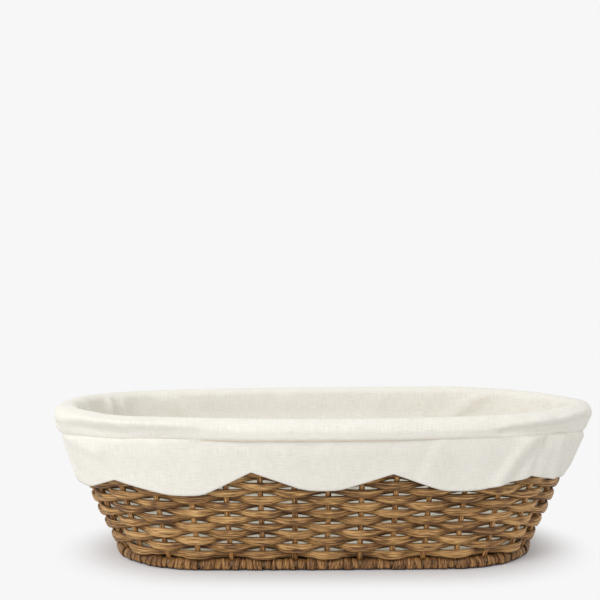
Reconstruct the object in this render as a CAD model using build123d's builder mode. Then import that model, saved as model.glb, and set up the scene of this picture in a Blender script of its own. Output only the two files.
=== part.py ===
from build123d import *
from math import acos, asin, atan2, cos, pi, sin, sqrt
import os

# A long oval proving basket: a rattan shell woven on stakes between a foot hoop and a rim hoop,
# with a cloth liner that folds over the rim and ends in a scalloped valance.
# Millimetres. The origin is the centre of the foot on the surface it stands on, X runs along the
# long side, Z is up and the front is towards -Y.

# The stake line is the oval that every stake passes through, at the foot and at the rim.
# The side bow is how far its long sides stand out beyond the rounding of its ends.
foot_line_length = 256.0
foot_line_width = 112.0
foot_side_bow = 1.0
rim_line_length = 322.0
rim_line_width = 154.0
rim_side_bow = 11.0

# Foot: a round hoop bound with peel, pressed flat where it stands.
foot_core_d = 4.6
foot_wrap_d = 6.8
foot_flat = 0.1
binding_slip = 0.2

# Rim: a heavier hoop bound the same way, a little above the last row of the weave.
rim_core_d = 8.0
rim_wrap_d = 10.4
rim_rise = 3.12

# Weave. The stake count is even, because each row goes in front of every second stake.
stake_count = 34
stake_d = 2.8
stake_crowding = 0.15
weaver_d = 4.1
weaver_rows = 17
row_gap = 0.1
weave_gap = 0.08
butt_gap = 0.4
bend_radius = 9.0
joint_step = 5

# Woven floor inside the foot.
rib_d = 3.2
rib_pitch = 21.0
floor_strand_d = 2.6
floor_pitch = 5.6
floor_margin = 6.0
floor_bend_radius = 12.0
floor_lift = 0.35
strand_tail = 3.0

# Cloth.
cloth = 1.0
fold_thickness = 1.3
liner_gap = 0.3
bag_gap = 0.05349
rim_gap = 0.35
elastic_d = 1.2
seam_gap = 0.1
seam_drop = 5.0
valance_flare = 1.35
hem_drop = 39.9
scallop_count = 10
scallop_rise = 12.5
scallop_flat = 22.0
scallop_crowding = 0.05
scallop_cut = 40.0

foot_height = foot_wrap_d / 2 - foot_flat
row_pitch = weaver_d + row_gap
first_row = foot_height + (foot_wrap_d + weaver_d) / 2 + weave_gap
weave_top = first_row + (weaver_rows - 1) * row_pitch + weaver_d / 2
rim_height = weave_top + rim_rise + rim_wrap_d / 2
wall_rise = rim_height - foot_height
weave_reach = (weaver_d + stake_d) / 2 + weave_gap


def oval(half_length, half_width, end_radius):
    # Four tangent arcs: two ends of end_radius, and two long sides of the radius that meets them.
    reach = half_length - end_radius
    side_radius = (reach**2 + half_width**2 - end_radius**2) / (2 * (half_width - end_radius))
    return half_length, half_width, end_radius, side_radius


foot_line = oval(foot_line_length / 2, foot_line_width / 2, foot_line_width / 2 - foot_side_bow)
rim_line = oval(rim_line_length / 2, rim_line_width / 2, rim_line_width / 2 - rim_side_bow)


def grown(shape, offset):
    half_length, half_width, end_radius, side_radius = shape
    return half_length + offset, half_width + offset, end_radius + offset, side_radius + offset


def line_at(height):
    share = (height - foot_height) / wall_rise
    return oval(*[low + (high - low) * share for low, high in zip(foot_line[:3], rim_line[:3])])


def turn_at_joint(shape):
    half_length, half_width, end_radius, side_radius = shape
    return asin((half_length - end_radius) / (side_radius - end_radius))


def draw_oval(shape, height=0.0):
    half_length, half_width, end_radius, side_radius = shape
    turn = turn_at_joint(shape)
    x = side_radius * sin(turn)
    y = end_radius * cos(turn)
    ThreePointArc((-x, -y, height), (0, -half_width, height), (x, -y, height))
    ThreePointArc((x, -y, height), (half_length, 0, height), (x, y, height))
    ThreePointArc((x, y, height), (0, half_width, height), (-x, y, height))
    ThreePointArc((-x, y, height), (-half_length, 0, height), (-x, -y, height))


def start_of(shape, height):
    # The plane across an oval path where it starts, X outwards and Y up.
    half_length, half_width, end_radius, side_radius = shape
    turn = turn_at_joint(shape)
    origin = (-side_radius * sin(turn), -end_radius * cos(turn), height)
    return Plane(origin=origin, x_dir=(-sin(turn), -cos(turn), 0), z_dir=(-cos(turn), sin(turn), 0))


def raised(point, height):
    return Vector(point.X, point.Y, height)


def perimeter(shape):
    half_length, half_width, end_radius, side_radius = shape
    turn = turn_at_joint(shape)
    return 4 * (side_radius * turn + end_radius * (pi / 2 - turn))


def place_on(shape, share):
    # The point and the outward direction a share of the way round, from the front centre towards +X.
    half_length, half_width, end_radius, side_radius = shape
    turn = turn_at_joint(shape)
    quarter = perimeter(shape) / 4
    distance = share % 1.0 * 4 * quarter
    along = distance if distance < 2 * quarter else 4 * quarter - distance
    x_side = 1 if distance < 2 * quarter else -1
    y_side = -1 if along < quarter else 1
    along = along if along < quarter else 2 * quarter - along
    if along < side_radius * turn:
        angle = along / side_radius
        x = side_radius * sin(angle)
        y = side_radius * cos(angle) - (side_radius - half_width)
    else:
        angle = turn + (along - side_radius * turn) / end_radius
        x = half_length - end_radius + end_radius * sin(angle)
        y = end_radius * cos(angle)
    return Vector(x_side * x, y_side * y), Vector(x_side * sin(angle), y_side * cos(angle))


def depth_in(shape, point):
    # How far a point stands inside an oval, square to its edge.
    half_length, half_width, end_radius, side_radius = shape
    x, y = abs(point.X), abs(point.Y) + side_radius - half_width
    if atan2(x, y) < turn_at_joint(shape):
        return side_radius - sqrt(x**2 + y**2)
    return end_radius - sqrt((x - half_length + end_radius) ** 2 + point.Y**2)


def half_width_at(shape, x):
    half_length, half_width, end_radius, side_radius = shape
    if abs(x) < side_radius * sin(turn_at_joint(shape)):
        return sqrt(side_radius**2 - x**2) - (side_radius - half_width)
    return sqrt(max(end_radius**2 - (abs(x) - half_length + end_radius) ** 2, 0.0))


def half_length_at(shape, y):
    half_length, half_width, end_radius, side_radius = shape
    turn = turn_at_joint(shape)
    if abs(y) < end_radius * cos(turn):
        return half_length - end_radius + sqrt(end_radius**2 - y**2)
    return sqrt(max(side_radius**2 - (abs(y) + side_radius - half_width) ** 2, 0.0))


def weave_runs(pegs, outward, sides, offsets, bend):
    # A strand passes each peg on its own side along an arc of radius bend, with straight tangents
    # between the arcs. Each run is (way in, apex, way out), the first and last without the outer half.
    centres = [p + n * s * (o - bend) for p, n, s, o in zip(pegs, outward, sides, offsets)]
    apexes = [p + n * s * o for p, n, s, o in zip(pegs, outward, sides, offsets)]
    ways_in, ways_out = [apexes[0]], []
    for k in range(len(pegs) - 1):
        span = centres[k + 1] - centres[k]
        ahead = span.normalized()
        aside = Vector(-ahead.Y, ahead.X)
        if aside.dot(outward[k] * sides[k]) < 0:
            aside = aside * -1
        lean = acos(2 * bend / span.length)
        spoke = (ahead * cos(lean) + aside * sin(lean)) * bend
        ways_out.append(centres[k] + spoke)
        ways_in.append(centres[k + 1] - spoke)
    ways_out.append(apexes[-1])
    return list(zip(ways_in, apexes, ways_out)), centres


def draw_weave(runs, centres, bend, trim, plane):
    # The runs lie in plane. The first arc starts and the last one ends trim away from its apex.
    first_in, first_apex, first_out = runs[0]
    last_in, last_apex, last_out = runs[-1]
    start, middle = arc_points(centres[0], first_apex, first_out, bend, trim)
    arcs = [(start, middle, first_out)] + runs[1:-1]
    end, middle = arc_points(centres[-1], last_apex, last_in, bend, trim)
    arcs.append((last_in, middle, end))
    arcs = [[plane.from_local_coords(point) for point in arc] for arc in arcs]
    ThreePointArc(*arcs[0])
    for before, arc in zip(arcs, arcs[1:]):
        Line(before[2], arc[0])
        ThreePointArc(*arc)


def arc_points(centre, apex, far, bend, trim):
    # Two points of the arc from apex to far: trim along it, and half of the way from there.
    begin = atan2(apex.Y - centre.Y, apex.X - centre.X)
    sweep_angle = atan2(far.Y - centre.Y, far.X - centre.X) - begin
    sweep_angle = (sweep_angle + pi) % (2 * pi) - pi
    near = begin + trim / bend * (1 if sweep_angle > 0 else -1)
    middle = (near + begin + sweep_angle) / 2
    return (
        centre + Vector(cos(near), sin(near)) * bend,
        centre + Vector(cos(middle), sin(middle)) * bend,
    )


# Stakes lean out from the foot line to the rim line, and stand closer along the sides than round the ends.
foot_shares = [k / stake_count for k in range(stake_count)]
rim_shares = [u - stake_crowding * sin(4 * pi * u) / (4 * pi) for u in foot_shares]
foot_points = [place_on(foot_line, u)[0] for u in foot_shares]
rim_points = [place_on(rim_line, u)[0] for u in rim_shares]


def stake_point(k, height):
    low, high = foot_points[k % stake_count], rim_points[k % stake_count]
    return low + (high - low) * ((height - foot_height) / wall_rise)


def stake_outward(k, height):
    along = stake_point(k + 1, height) - stake_point(k - 1, height)
    return Vector(along.Y, -along.X).normalized()


def stake_reach(k, height):
    # How far out from the stake's axis a level strand has to pass to clear the leaning stake.
    lean_out = (stake_point(k, rim_height) - stake_point(k, foot_height)).dot(stake_outward(k, height))
    return weave_reach * sqrt(wall_rise**2 + lean_out**2) / wall_rise


def stake_slant(k):
    # How far the stake leans along the wall for each unit that it rises.
    aside = (stake_point(k + 1, rim_height) - stake_point(k - 1, rim_height)).normalized()
    return abs((stake_point(k, rim_height) - stake_point(k, foot_height)).dot(aside)) / wall_rise


os.makedirs("parts", exist_ok=True)


def keep(piece, name):
    piece.part.label = name
    export_step(piece.part, f"parts/{name}.step")


# The two hoops.
for name, shape, height, core_d in (
    ("foot_hoop", foot_line, foot_height, foot_core_d),
    ("rim_hoop", rim_line, rim_height, rim_core_d),
):
    with BuildPart() as hoop:
        with BuildLine():
            draw_oval(shape, height)
        with BuildSketch(start_of(shape, height)):
            Circle(core_d / 2)
        sweep()
    keep(hoop, name)

# Peel binding on each hoop: one sleeve from stake to stake. Each stake reaches the hoop between two.
slant = max(stake_slant(k) for k in range(stake_count))
for name, shape, shares, height, core_d, wrap_d, flat in (
    ("foot_binding", foot_line, foot_shares, foot_height, foot_core_d, foot_wrap_d, foot_flat),
    ("rim_binding", rim_line, rim_shares, rim_height, rim_core_d, rim_wrap_d, 0.0),
):
    stake_room = stake_d / 2 * sqrt(1 + slant**2) + slant * wrap_d / 2 + binding_slip
    clear_share = stake_room / perimeter(shape)
    sleeves = []
    with BuildPart() as binding:
        for begin, end in zip(shares, shares[1:] + [1.0]):
            arc = [begin + clear_share, (begin + end) / 2, end - clear_share]
            with BuildLine() as path:
                ThreePointArc(*[raised(place_on(shape, u)[0], height) for u in arc])
            ahead = path.line % 0
            across = Plane(origin=path.line @ 0, x_dir=(ahead.Y, -ahead.X, 0), z_dir=-ahead)
            with BuildSketch(across) as section:
                Circle(wrap_d / 2)
                Circle(core_d / 2 + binding_slip, mode=Mode.SUBTRACT)
                if flat:
                    with Locations((0, flat - wrap_d)):
                        Rectangle(wrap_d, wrap_d, mode=Mode.SUBTRACT)
            sleeves.append(sweep(section.sketch, path.line, mode=Mode.PRIVATE))
        add(sleeves, clean=False)
    keep(binding, name)

# Stakes, from the foot hoop's core to the rim hoop's core.
with BuildPart() as stakes:
    for k in range(stake_count):
        low, high = raised(foot_points[k], foot_height), raised(rim_points[k], rim_height)
        along = (high - low).normalized()
        foot_seat = (foot_core_d / 2 + weave_gap) / along.Z + stake_d / 2 * sqrt(1 - along.Z**2)
        rim_seat = (rim_core_d / 2 + weave_gap) / along.Z + stake_d / 2 * sqrt(1 - along.Z**2)
        with BuildSketch(Plane(origin=low + along * foot_seat, z_dir=along)):
            Circle(stake_d / 2)
        extrude(amount=(high - low).length - foot_seat - rim_seat)
keep(stakes, "stakes")

# Weaver rows: each is one cane that goes in front of every second stake and behind the others.
# Its two ends butt behind a stake, further round from row to row.
for row in range(weaver_rows):
    height = first_row + row * row_pitch
    first = (2 * joint_step * row + row + stake_count // 2) % stake_count
    order = [first + k for k in range(stake_count + 1)]
    sides = [-1 if k % 2 == 0 else 1 for k in range(stake_count + 1)]
    runs, centres = weave_runs(
        [stake_point(k, height) for k in order],
        [stake_outward(k, height) for k in order],
        sides,
        [stake_reach(k, height) for k in order],
        bend_radius,
    )
    with BuildPart() as weaver:
        with BuildLine() as path:
            draw_weave(runs, centres, bend_radius, butt_gap / 2, Plane.XY.offset(height))
        with BuildSketch(Plane(origin=path.line @ 0, z_dir=path.line % 0)):
            Circle(weaver_d / 2)
        sweep()
    keep(weaver, f"weaver_row_{row + 1:02d}")

# Floor: ribs across the foot, and strands woven lengthwise over and under them.
floor_reach = (rib_d + floor_strand_d) / 2 + weave_gap
floor_height = floor_lift + floor_reach + floor_strand_d / 2
floor_edge = grown(foot_line, -foot_wrap_d / 2 - binding_slip)
ribs_aside = int((floor_edge[0] - floor_margin) / rib_pitch)
strands_aside = int((floor_edge[1] - floor_margin) / floor_pitch)
rib_places = [k * rib_pitch for k in range(-ribs_aside, ribs_aside + 1)]
with BuildPart() as ribs:
    for x in rib_places:
        half = half_width_at(floor_edge, abs(x) + rib_d / 2)
        with BuildSketch(Plane.XZ.offset(-half)):
            with Locations((x, floor_height)):
                Circle(rib_d / 2)
        extrude(amount=2 * half)
keep(ribs, "floor_ribs")

floor_top = floor_height + floor_reach + floor_strand_d / 2
with BuildPart() as floor_strands:
    for row in range(-strands_aside, strands_aside + 1):
        y = row * floor_pitch
        half = half_length_at(floor_edge, abs(y) + floor_strand_d / 2)
        crossed = [x for x in rib_places if abs(x) + strand_tail < half]
        first = rib_places.index(crossed[0])
        runs, centres = weave_runs(
            [Vector(x, 0) for x in crossed],
            [Vector(0, 1)] * len(crossed),
            [1 if (first + k + row) % 2 == 0 else -1 for k in range(len(crossed))],
            [floor_reach] * len(crossed),
            floor_bend_radius,
        )
        tail = min(half - abs(crossed[0]), rib_pitch / 2)
        plane = Plane((0, y, floor_height), x_dir=(1, 0, 0), z_dir=(0, -1, 0))
        begin, end = plane.from_local_coords(runs[0][1]), plane.from_local_coords(runs[-1][1])
        with BuildLine() as path:
            Line(begin - Vector(tail, 0), begin)
            draw_weave(runs, centres, floor_bend_radius, 0.0, plane)
            Line(end, end + Vector(tail, 0))
        with BuildSketch(Plane(origin=path.line @ 0, z_dir=path.line % 0)):
            Circle(floor_strand_d / 2)
        sweep()
keep(floor_strands, "floor_strands")

# Liner bag: a flat bottom panel that fits inside the lowest row, and a wall that follows the weave
# to the middle of the rim hoop.
row_heights = [first_row + row * row_pitch for row in range(weaver_rows)]
# The stakes stand straight, so halfway up they come inside the oval line by this much.
stake_places = [(height, stake_point(k, height)) for height in row_heights for k in range(stake_count)]
wall_dip = max(depth_in(line_at(height), place) for height, place in stake_places)
weave_edge = weave_reach / cos(atan2((rim_line[0] - foot_line[0]), wall_rise)) + weaver_d / 2
bag_reach = weave_edge + wall_dip + bag_gap
bottom_height = floor_top + liner_gap
wall_bottom = bottom_height + cloth
fold_inner = rim_wrap_d / 2 + rim_gap
fold_outer = fold_inner + fold_thickness
with BuildPart() as liner_bottom:
    with BuildSketch(Plane.XY.offset(bottom_height)):
        with BuildLine():
            draw_oval(grown(line_at(min(first_row, bottom_height)), -bag_reach))
        make_face()
    extrude(amount=cloth)
keep(liner_bottom, "liner_bottom")

with BuildPart() as liner_wall:
    for inward, mode in ((0.0, Mode.ADD), (cloth, Mode.SUBTRACT)):
        for height, offset in ((wall_bottom, bag_reach), (weave_top, bag_reach), (rim_height, fold_inner)):
            with BuildSketch(Plane.XY.offset(height)):
                with BuildLine():
                    draw_oval(grown(line_at(height), -offset - inward))
                make_face()
        loft(ruled=True, mode=mode)
keep(liner_wall, "liner_wall")

# The cloth rolls over the rim and comes down outside it to the seam.
seam_height = rim_height - seam_drop
with BuildPart() as rim_fold:
    with BuildLine():
        draw_oval(rim_line, rim_height)
    with BuildSketch(start_of(rim_line, rim_height)):
        with BuildLine():
            ThreePointArc((-fold_outer, 0), (0, fold_outer), (fold_outer, 0))
            Polyline((fold_outer, 0), (fold_outer, -seam_drop), (fold_inner, -seam_drop), (fold_inner, 0))
            ThreePointArc((fold_inner, 0), (0, fold_inner), (-fold_inner, 0))
            Line((-fold_inner, 0), (-fold_outer, 0))
        make_face()
    sweep()
keep(rim_fold, "rim_fold")

# Elastic in the seam, which holds the liner under the roll.
elastic_height = seam_height - seam_gap - elastic_d / 2
elastic_line = grown(rim_line, (fold_inner + fold_outer) / 2)
with BuildPart() as elastic:
    with BuildLine():
        draw_oval(elastic_line, elastic_height)
    with BuildSketch(start_of(elastic_line, elastic_height)):
        Circle(elastic_d / 2)
    sweep()
keep(elastic, "seam_elastic")

# Valance: a skirt that hangs from the seam outside the weave, its hem cut in scallops.
valance_top = elastic_height - elastic_d / 2 - seam_gap
hem_height = rim_height - hem_drop
hem_line = grown(line_at(hem_height), weave_edge + valance_flare)
with BuildPart() as valance:
    for outward_by, mode in ((cloth, Mode.ADD), (0.0, Mode.SUBTRACT)):
        for height, shape in ((hem_height, hem_line), (valance_top, grown(rim_line, fold_inner))):
            with BuildSketch(Plane.XY.offset(height)):
                with BuildLine():
                    draw_oval(grown(shape, outward_by))
                make_face()
        loft(ruled=True, mode=mode)
    for k in range(scallop_count):
        phase = (k + 0.5) / scallop_count
        place, outward = place_on(hem_line, phase - scallop_crowding * sin(4 * pi * phase) / (4 * pi))
        half = (perimeter(hem_line) / scallop_count - scallop_flat) / 2
        behind = raised(place - outward * scallop_cut / 2, hem_height)
        facing = Plane(origin=behind, x_dir=(-outward.Y, outward.X, 0), z_dir=outward)
        with BuildSketch(facing):
            with BuildLine():
                notch = [(-half, 0), (0, scallop_rise), (half, 0), (half, -cloth), (-half, -cloth)]
                Polyline(*notch, close=True)
            make_face()
        extrude(amount=scallop_cut, mode=Mode.SUBTRACT)
keep(valance, "valance")
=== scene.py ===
import math
import random
import bmesh
import bpy
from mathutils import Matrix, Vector, noise


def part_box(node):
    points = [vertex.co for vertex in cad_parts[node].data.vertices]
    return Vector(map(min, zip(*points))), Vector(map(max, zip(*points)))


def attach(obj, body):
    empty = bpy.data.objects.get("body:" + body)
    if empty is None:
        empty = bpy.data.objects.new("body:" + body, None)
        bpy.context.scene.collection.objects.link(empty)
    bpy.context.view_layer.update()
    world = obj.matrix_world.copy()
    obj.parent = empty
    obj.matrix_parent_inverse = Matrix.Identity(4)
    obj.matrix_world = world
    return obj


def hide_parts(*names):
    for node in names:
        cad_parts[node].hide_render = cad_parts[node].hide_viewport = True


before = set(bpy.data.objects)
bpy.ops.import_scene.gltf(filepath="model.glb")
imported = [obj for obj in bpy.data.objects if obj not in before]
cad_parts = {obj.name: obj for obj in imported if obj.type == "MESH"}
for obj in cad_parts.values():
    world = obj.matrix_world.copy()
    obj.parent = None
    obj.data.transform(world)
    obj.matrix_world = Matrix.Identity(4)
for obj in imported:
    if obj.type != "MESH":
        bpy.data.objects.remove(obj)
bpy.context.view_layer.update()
up = Vector((0, 0, 1))
print("frame loaded:", len(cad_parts), "nodes")

# The camera stands a little above the rim, in front of the basket and to its left.
eye = {"place": (-0.0272, -0.6684, 0.1759), "lookDown": 0.0284, "turn": -0.0182, "lens": 63.05, "sensor": 36,
       "near": 0.01}


def addCamera():
    data = bpy.data.cameras.new("camera")
    data.lens = eye["lens"]
    data.sensor_width = eye["sensor"]
    data.clip_start = eye["near"]
    camera = bpy.data.objects.new("camera", data)
    camera.location = eye["place"]
    camera.rotation_euler = (math.radians(90) - eye["lookDown"], 0, eye["turn"])
    bpy.context.scene.collection.objects.link(camera)
    bpy.context.scene.camera = camera


addCamera()
print("camera ready")

# The wall stands on two ovals, one at each hoop. Every place on it is a share of the way round and a height.
basket = {
    "rimRod": 0.008,    # the hoops' rods, as they are in the frame
    "footRod": 0.0046,
    "rimBow": 0.011,    # how far the long sides stand out beyond the rounding of the ends
    "footBow": 0.001,
    "stakes": 34,
    "crowding": 0.15,   # the stakes stand closer along the sides of the rim
    "rows": 17,
    # The ends of the wall belly out between two heights, by up to this much to the left and to the right.
    "belly": (0.0026, 0.0020), "bellyFrom": 0.006, "bellyTo": 0.084, "bellyFade": (0.030, 0.020),
}


def ovalOf(node, rod, bow):
    low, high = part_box(node)
    halfLength = (high.x - low.x - rod) / 2
    halfWidth = (high.y - low.y - rod) / 2
    endRadius = halfWidth - bow
    reach = halfLength - endRadius
    sideRadius = (reach**2 + halfWidth**2 - endRadius**2) / (2 * bow)
    turn = math.asin(reach / (sideRadius - endRadius))
    quarter = sideRadius * turn + endRadius * (math.pi / 2 - turn)
    return {"halfLength": halfLength, "halfWidth": halfWidth, "endRadius": endRadius,
            "sideRadius": sideRadius, "turn": turn, "quarter": quarter, "height": (low.z + high.z) / 2}


footOval = ovalOf("foot_hoop", basket["footRod"], basket["footBow"])
rimOval = ovalOf("rim_hoop", basket["rimRod"], basket["rimBow"])
footHeight = footOval["height"]
rimHeight = rimOval["height"]


def placeOn(oval, share):
    # The point and the outward direction, from the front centre towards +X.
    distance = share % 1.0 * 4 * oval["quarter"]
    along = min(distance, 4 * oval["quarter"] - distance)
    xSide = 1 if distance < 2 * oval["quarter"] else -1
    ySide = -1 if along < oval["quarter"] else 1
    along = min(along, 2 * oval["quarter"] - along)
    if along < oval["sideRadius"] * oval["turn"]:
        angle = along / oval["sideRadius"]
        x = oval["sideRadius"] * math.sin(angle)
        y = oval["sideRadius"] * math.cos(angle) - oval["sideRadius"] + oval["halfWidth"]
    else:
        angle = oval["turn"] + (along - oval["sideRadius"] * oval["turn"]) / oval["endRadius"]
        x = oval["halfLength"] - oval["endRadius"] + oval["endRadius"] * math.sin(angle)
        y = oval["endRadius"] * math.cos(angle)
    return Vector((xSide * x, ySide * y, 0)), Vector((xSide * math.sin(angle), ySide * math.cos(angle), 0))


def rimShare(share):
    return share - basket["crowding"] * math.sin(4 * math.pi * share) / (4 * math.pi)


def belly(height, outward):
    lowFade, highFade = basket["bellyFade"]
    rise = smooth((height - basket["bellyFrom"]) / lowFade) * smooth((basket["bellyTo"] - height) / highFade)
    return basket["belly"][0 if outward.x < 0 else 1] * outward.x**4 * rise


def onWall(share, height, offset=0.0, bellied=True):
    # A point offset out of the stakes' own surface, and the outward direction there.
    low, lowOut = placeOn(footOval, share)
    high, highOut = placeOn(rimOval, rimShare(share))
    rise = (height - footHeight) / (rimHeight - footHeight)
    outward = lowOut.lerp(highOut, min(max(rise, 0), 1)).normalized()
    if bellied:
        offset += belly(height, outward)
    point = low.lerp(high, rise) + outward * offset
    point.z = height
    return point, outward


def onRim(share, offset, height):
    # A point offset out of the rim's own line.
    point, outward = placeOn(rimOval, rimShare(share))
    point += outward * offset
    point.z = height
    return point


def smooth(value):
    value = min(max(value, 0.0), 1.0)
    return value * value * (3 - 2 * value)


def curveAt(a, b, c, d, f):
    # A smooth curve from b to c, as f runs from 0 to 1.
    return 0.5 * (2 * b + (c - a) * f + (2 * a - 5 * b + 4 * c - d) * f * f + (3 * b - a - 3 * c + d) * f**3)


def between(points, place):
    # A smooth curve through the points, place running from 0 at the first to 1 at the last.
    spans = len(points) - 1
    k = min(int(place * spans), spans - 1)
    f = place * spans - k
    return curveAt(*(points[min(max(k + n, 0), spans)] for n in (-1, 0, 1, 2)), f)


def wobble(*place):
    return noise.noise(Vector(place))


# Shapes are grids whose points are put in place one by one, then joined where they meet.
def newShape():
    shape = bmesh.new()
    shape.loops.layers.uv.new("UVMap")
    shape.verts.layers.float.new("tone")
    # A value per point for painted light and shade: below 1 is painted shade, above 1 a painted highlight.
    shape.verts.layers.float.new("paintedLight")
    return shape


def faceTowards(shape, middle):
    # Turns an open sheet so that its faces look towards a point.
    shape.faces.ensure_lookup_table()
    face = shape.faces[0]
    if face.normal.dot(middle - face.calc_center_median()) < 0:
        bmesh.ops.reverse_faces(shape, faces=shape.faces[:])


def addSkin(shape, columns, rows, place, tone=0.5, paintedLight=1.0, closed=True):
    # place(i, j) gives a grid point's position and its own two measures in metres.
    uvLayer = shape.loops.layers.uv["UVMap"]
    toneLayer = shape.verts.layers.float["tone"]
    paintedLightLayer = shape.verts.layers.float["paintedLight"]
    made = bmesh.ops.create_grid(shape, x_segments=columns, y_segments=rows, size=1)["verts"]
    measures = {}
    for vert in made:
        i = round((vert.co.x + 1) / 2 * columns)
        j = round((vert.co.y + 1) / 2 * rows)
        vert.co, measures[vert] = place(i, j)
        vert[toneLayer] = tone(i) if callable(tone) else tone
        vert[paintedLightLayer] = paintedLight(i, j) if callable(paintedLight) else paintedLight
    faces = {face for vert in made for face in vert.link_faces}
    for face in faces:
        face.smooth = True
        for loop in face.loops:
            loop[uvLayer].uv = measures[loop.vert]
    bmesh.ops.remove_doubles(shape, verts=made, dist=1e-6)
    made = [vert for vert in made if vert.is_valid]
    if closed:
        rims = [edge for edge in {e for vert in made for e in vert.link_edges} if edge.is_boundary]
        if rims:
            bmesh.ops.holes_fill(shape, edges=rims, sides=0)
    bmesh.ops.recalc_face_normals(shape, faces=list({face for vert in made for face in vert.link_faces}))


def finishPiece(shape, name, material, body, stands):
    mesh = bpy.data.meshes.new(name)
    shape.to_mesh(mesh)
    shape.free()
    piece = bpy.data.objects.new(name, mesh)
    bpy.context.scene.collection.objects.link(piece)
    mesh.materials.append(material)
    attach(piece, body)
    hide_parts(*stands)
    return piece


def thicken(piece, thickness, backing=None):
    # A backing is the finish of the side that the faces turn away from.
    solid = piece.modifiers.new("thickness", "SOLIDIFY")
    solid.thickness = thickness
    solid.offset = 0
    solid.use_even_offset = False
    if backing:
        piece.data.materials.append(backing)
        solid.material_offset = 1


# Node groups, each built once and used by several finishes.
def newGroup(name, inputs, outputs):
    group = bpy.data.node_groups.new(name, "ShaderNodeTree")
    for label, kind, value in inputs:
        socket = group.interface.new_socket(label, in_out="INPUT", socket_type=kind)
        socket.default_value = value
    for label, kind in outputs:
        group.interface.new_socket(label, in_out="OUTPUT", socket_type=kind)
    return group, group.nodes.new("NodeGroupInput"), group.nodes.new("NodeGroupOutput")


def addNode(tree, kind, **settings):
    node = tree.nodes.new(kind)
    for name, value in settings.items():
        setattr(node, name, value)
    return node


def addMath(tree, operation, *values):
    # Each value is a socket or a number.
    node = addNode(tree, "ShaderNodeMath", operation=operation)
    for n, value in enumerate(values):
        if isinstance(value, (int, float)):
            node.inputs[n].default_value = value
        else:
            tree.links.new(value, node.inputs[n])
    return node.outputs[0]


def sumOf(tree, start, *terms):
    # Adds value sockets, each times its own weight, to a start value.
    total = start
    for socket, weight in terms:
        total = addMath(tree, "MULTIPLY_ADD", socket, weight, total)
    return total


def stretchedNoise(tree, vector, setting):
    mapping = addNode(tree, "ShaderNodeMapping")
    mapping.inputs["Scale"].default_value = setting["scale"]
    tree.links.new(vector, mapping.inputs["Vector"])
    texture = addNode(tree, "ShaderNodeTexNoise")
    texture.inputs["Scale"].default_value = 1.0
    texture.inputs["Detail"].default_value = setting["detail"]
    tree.links.new(mapping.outputs[0], texture.inputs["Vector"])
    return texture.outputs["Fac"]


def weighed(layers, settings, use):
    # Each layer that has a weight for this use, with that weight.
    return [(layers[name], settings[name][use]) for name in layers if use in settings[name]]


# The cane's fibres. The scales are along the cane, round it and through it; the shade begins at the start.
fibres = {
    "start": -3.12, "tone": 0.36, "paintedLight": 0.70,
    "coarse": {"scale": (48, 1500, 1), "detail": 2.0, "shade": 1.8, "relief": 0.6},
    "fine": {"scale": (160, 4600, 1), "detail": 2.0, "shade": 2.1, "relief": 0.25},
    "patches": {"scale": (80, 300, 1), "detail": 3.0, "shade": 0.8},
    "splits": {"scale": (26, 620, 1), "detail": 0.0, "shade": 0.42, "relief": 0.35, "width": 0.045},
}


def makeFibreGroup():
    # Long fibre lines that run with a cane, by its length and girth in metres. A cane's tone makes all of it
    # lighter or darker; painted shade and painted highlights do so from place to place.
    group, start, end = newGroup(
        "caneFibre", [("Tone", "NodeSocketFloat", 0.5), ("PaintedLight", "NodeSocketFloat", 1.0)],
        [("Shade", "NodeSocketFloat"), ("Relief", "NodeSocketFloat")])
    uv = addNode(group, "ShaderNodeUVMap", uv_map="UVMap")
    layers = {}
    for name in ("coarse", "fine", "patches", "splits"):
        layers[name] = stretchedNoise(group, uv.outputs[0], fibres[name])
    # Splits are thin dark lines, where a slow noise passes its middle.
    gap = addMath(group, "ABSOLUTE", addMath(group, "SUBTRACT", layers["splits"], 0.5))
    split = addNode(group, "ShaderNodeMapRange")
    group.links.new(gap, split.inputs["Value"])
    split.inputs["From Max"].default_value = fibres["splits"]["width"]
    layers["splits"] = split.outputs["Result"]
    shade = sumOf(group, fibres["start"], *weighed(layers, fibres, "shade"),
                  (start.outputs["Tone"], fibres["tone"]), (start.outputs["PaintedLight"], fibres["paintedLight"]))
    relief = sumOf(group, 0.0, *weighed(layers, fibres, "relief"))
    group.links.new(shade, end.inputs["Shade"])
    group.links.new(relief, end.inputs["Relief"])
    return group


# The linen's threads. The scales are along the cloth's edge, down it and through it.
linenThreads = {
    "start": -0.52, "perMetre": 1250.0, "crossShade": 0.05, "crossRelief": 0.16,
    "warp": {"scale": (2200, 130, 1), "detail": 2.0, "shade": 0.88, "relief": 0.3},
    "weft": {"scale": (130, 2200, 1), "detail": 2.0, "shade": 0.88, "relief": 0.3},
    "clouds": {"scale": (60, 60, 1), "detail": 3.0, "shade": 0.28},
}


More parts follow.
